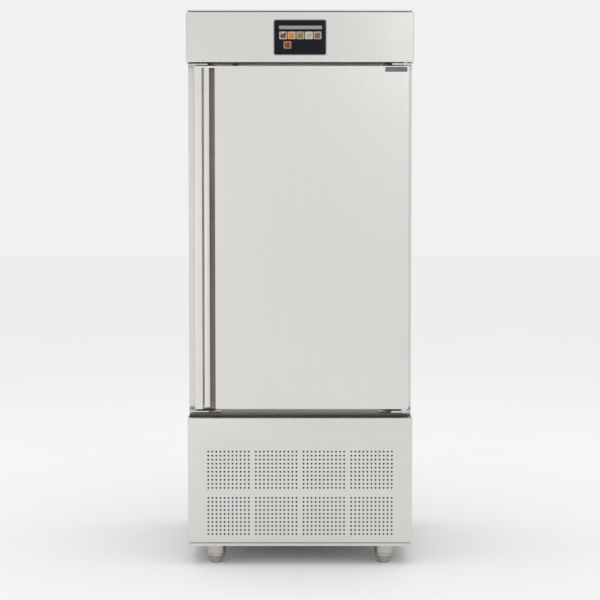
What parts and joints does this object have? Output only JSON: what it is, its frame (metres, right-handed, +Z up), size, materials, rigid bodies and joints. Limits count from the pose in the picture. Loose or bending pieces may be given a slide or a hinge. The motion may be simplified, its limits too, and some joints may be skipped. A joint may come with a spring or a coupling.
{
  "type": "blast chiller",
  "caption": "Upright blast chiller with a solid insulated door, tray runners, a touch control fascia and a perforated condenser panel below, on levelling feet.",
  "frame": {"origin": "on the floor under the centre of the cabinet's box", "axes": "+Z up, +X to the right of someone facing the door, -Y towards that person"},
  "size_m": [0.79, 0.82, 1.95],
  "materials": {
    "stainless_outer": "satin",
    "stainless_door": "satin",
    "stainless_liner": "satin",
    "galvanised_sheet": "matte",
    "bracket_steel": "satin",
    "foot_steel": "satin",
    "foam": "matte",
    "breaker_plastic": "matte",
    "gasket_rubber": "matte",
    "bush_plastic": "satin",
    "badge": "satin",
    "screen_glass": "gloss",
    "display_plastic": "satin",
    "circuit_board": "satin",
    "fan_plastic": "satin",
    "motor_black": "satin",
    "guard_wire": "gloss",
    "aluminium_fins": "satin",
    "copper_pipe": "satin",
    "valve_brass": "satin",
    "compressor_black": "satin",
    "compressor_inner": "matte",
    "receiver_paint": "satin",
    "mount_rubber": "matte",
    "grey_plastic": "matte",
    "electric_grey": "satin",
    "switch_plastic": "satin"
  },
  "bodies": {
    "cabinet": {"base_frame": "stainless_outer", "foot_sleeves": "foot_steel", "side_panel_left": "stainless_outer", "side_panel_right": "stainless_outer", "back_panel": "galvanised_sheet", "top_cover": "stainless_outer", "cabinet_foam": "foam", "inner_liner": "stainless_liner", "front_frame": "stainless_outer", "breaker_strip": "breaker_plastic", "foam_decks": "galvanised_sheet", "tray_uprights": "stainless_liner", "tray_runners": "stainless_liner", "duct_panel": "stainless_liner", "fan_guards": "guard_wire", "evaporator_fan_motors": "motor_black", "evaporator_coil": "aluminium_fins", "expansion_valve": "valve_brass", "drain_pipe": "grey_plastic", "cabin_sensors": "bracket_steel", "condenser_coil": "aluminium_fins", "condenser_shroud": "galvanised_sheet", "condenser_fan_motors": "motor_black", "compressor_shell": "compressor_black", "compressor_core": "compressor_inner", "compressor_mounts": "mount_rubber", "liquid_receiver": "receiver_paint", "filter_drier": "copper_pipe", "refrigerant_pipes": "copper_pipe", "electrical_box": "electric_grey", "contactors": "grey_plastic", "rear_grille": "galvanised_sheet", "cable_gland": "grey_plastic", "hinge_bracket_upper": "bracket_steel", "hinge_bracket_lower": "bracket_steel", "spare_hinge_plates": "bracket_steel", "door_switch": "switch_plastic", "grille_screws": "bracket_steel"},
    "door": {"door_skin": "stainless_door", "door_foam": "foam", "door_liner": "stainless_liner", "door_gasket": "gasket_rubber", "handle_channel": "stainless_door", "handle_grip": "stainless_door", "badge_plate": "badge", "door_bushes": "bush_plastic"},
    "control_flap": {"control_fascia": "stainless_outer", "display_glass": "screen_glass", "display_module": "display_plastic", "controller_board": "circuit_board"},
    "grille_panel": {"lower_grille": "stainless_outer"},
    "evaporator_fan_1_body": {"evaporator_fan_1": "fan_plastic"},
    "evaporator_fan_2_body": {"evaporator_fan_2": "fan_plastic"},
    "evaporator_fan_3_body": {"evaporator_fan_3": "fan_plastic"},
    "condenser_fan_1_body": {"condenser_fan_1": "fan_plastic"},
    "condenser_fan_2_body": {"condenser_fan_2": "fan_plastic"},
    "foot_front_left_body": {"foot_front_left": "foot_steel"},
    "foot_front_right_body": {"foot_front_right": "foot_steel"},
    "foot_rear_left_body": {"foot_rear_left": "foot_steel"},
    "foot_rear_right_body": {"foot_rear_right": "foot_steel"}
  },
  "joints": [
    {"name": "door_hinge", "type": "hinge", "parent": "cabinet", "child": "door", "pos_m": [0.367, -0.392, 0.549], "axis": [0, 0, 1], "range_deg": [0, 110]},
    {"name": "control_flap_hinge", "type": "hinge", "parent": "cabinet", "child": "control_flap", "pos_m": [0, -0.403, 1.9325], "axis": [-1, 0, 0], "range_deg": [0, 80]},
    {"name": "grille_panel_hinge", "type": "hinge", "parent": "cabinet", "child": "grille_panel", "pos_m": [0.388, -0.403, 0.081], "axis": [0, 0, 1], "range_deg": [0, 100]},
    {"name": "evaporator_fan_1_spin", "type": "hinge", "parent": "cabinet", "child": "evaporator_fan_1_body", "pos_m": [0, 0.1062, 0.821], "axis": [0, -1, 0], "continuous": true},
    {"name": "evaporator_fan_2_spin", "type": "hinge", "parent": "cabinet", "child": "evaporator_fan_2_body", "pos_m": [0, 0.1062, 1.161], "axis": [0, -1, 0], "continuous": true},
    {"name": "evaporator_fan_3_spin", "type": "hinge", "parent": "cabinet", "child": "evaporator_fan_3_body", "pos_m": [0, 0.1062, 1.501], "axis": [0, -1, 0], "continuous": true},
    {"name": "condenser_fan_1_spin", "type": "hinge", "parent": "cabinet", "child": "condenser_fan_1_body", "pos_m": [-0.22005, -0.2595, 0.266], "axis": [0, 1, 0], "continuous": true},
    {"name": "condenser_fan_2_spin", "type": "hinge", "parent": "cabinet", "child": "condenser_fan_2_body", "pos_m": [0.01985, -0.2595, 0.266], "axis": [0, 1, 0], "continuous": true},
    {"name": "foot_front_left_screw", "type": "slide", "parent": "cabinet", "child": "foot_front_left_body", "axis": [0, 0, -1], "range_m": [0, 0.025]},
    {"name": "foot_front_right_screw", "type": "slide", "parent": "cabinet", "child": "foot_front_right_body", "axis": [0, 0, -1], "range_m": [0, 0.025]},
    {"name": "foot_rear_left_screw", "type": "slide", "parent": "cabinet", "child": "foot_rear_left_body", "axis": [0, 0, -1], "range_m": [0, 0.025]},
    {"name": "foot_rear_right_screw", "type": "slide", "parent": "cabinet", "child": "foot_rear_right_body", "axis": [0, 0, -1], "range_m": [0, 0.025]}
  ]
}
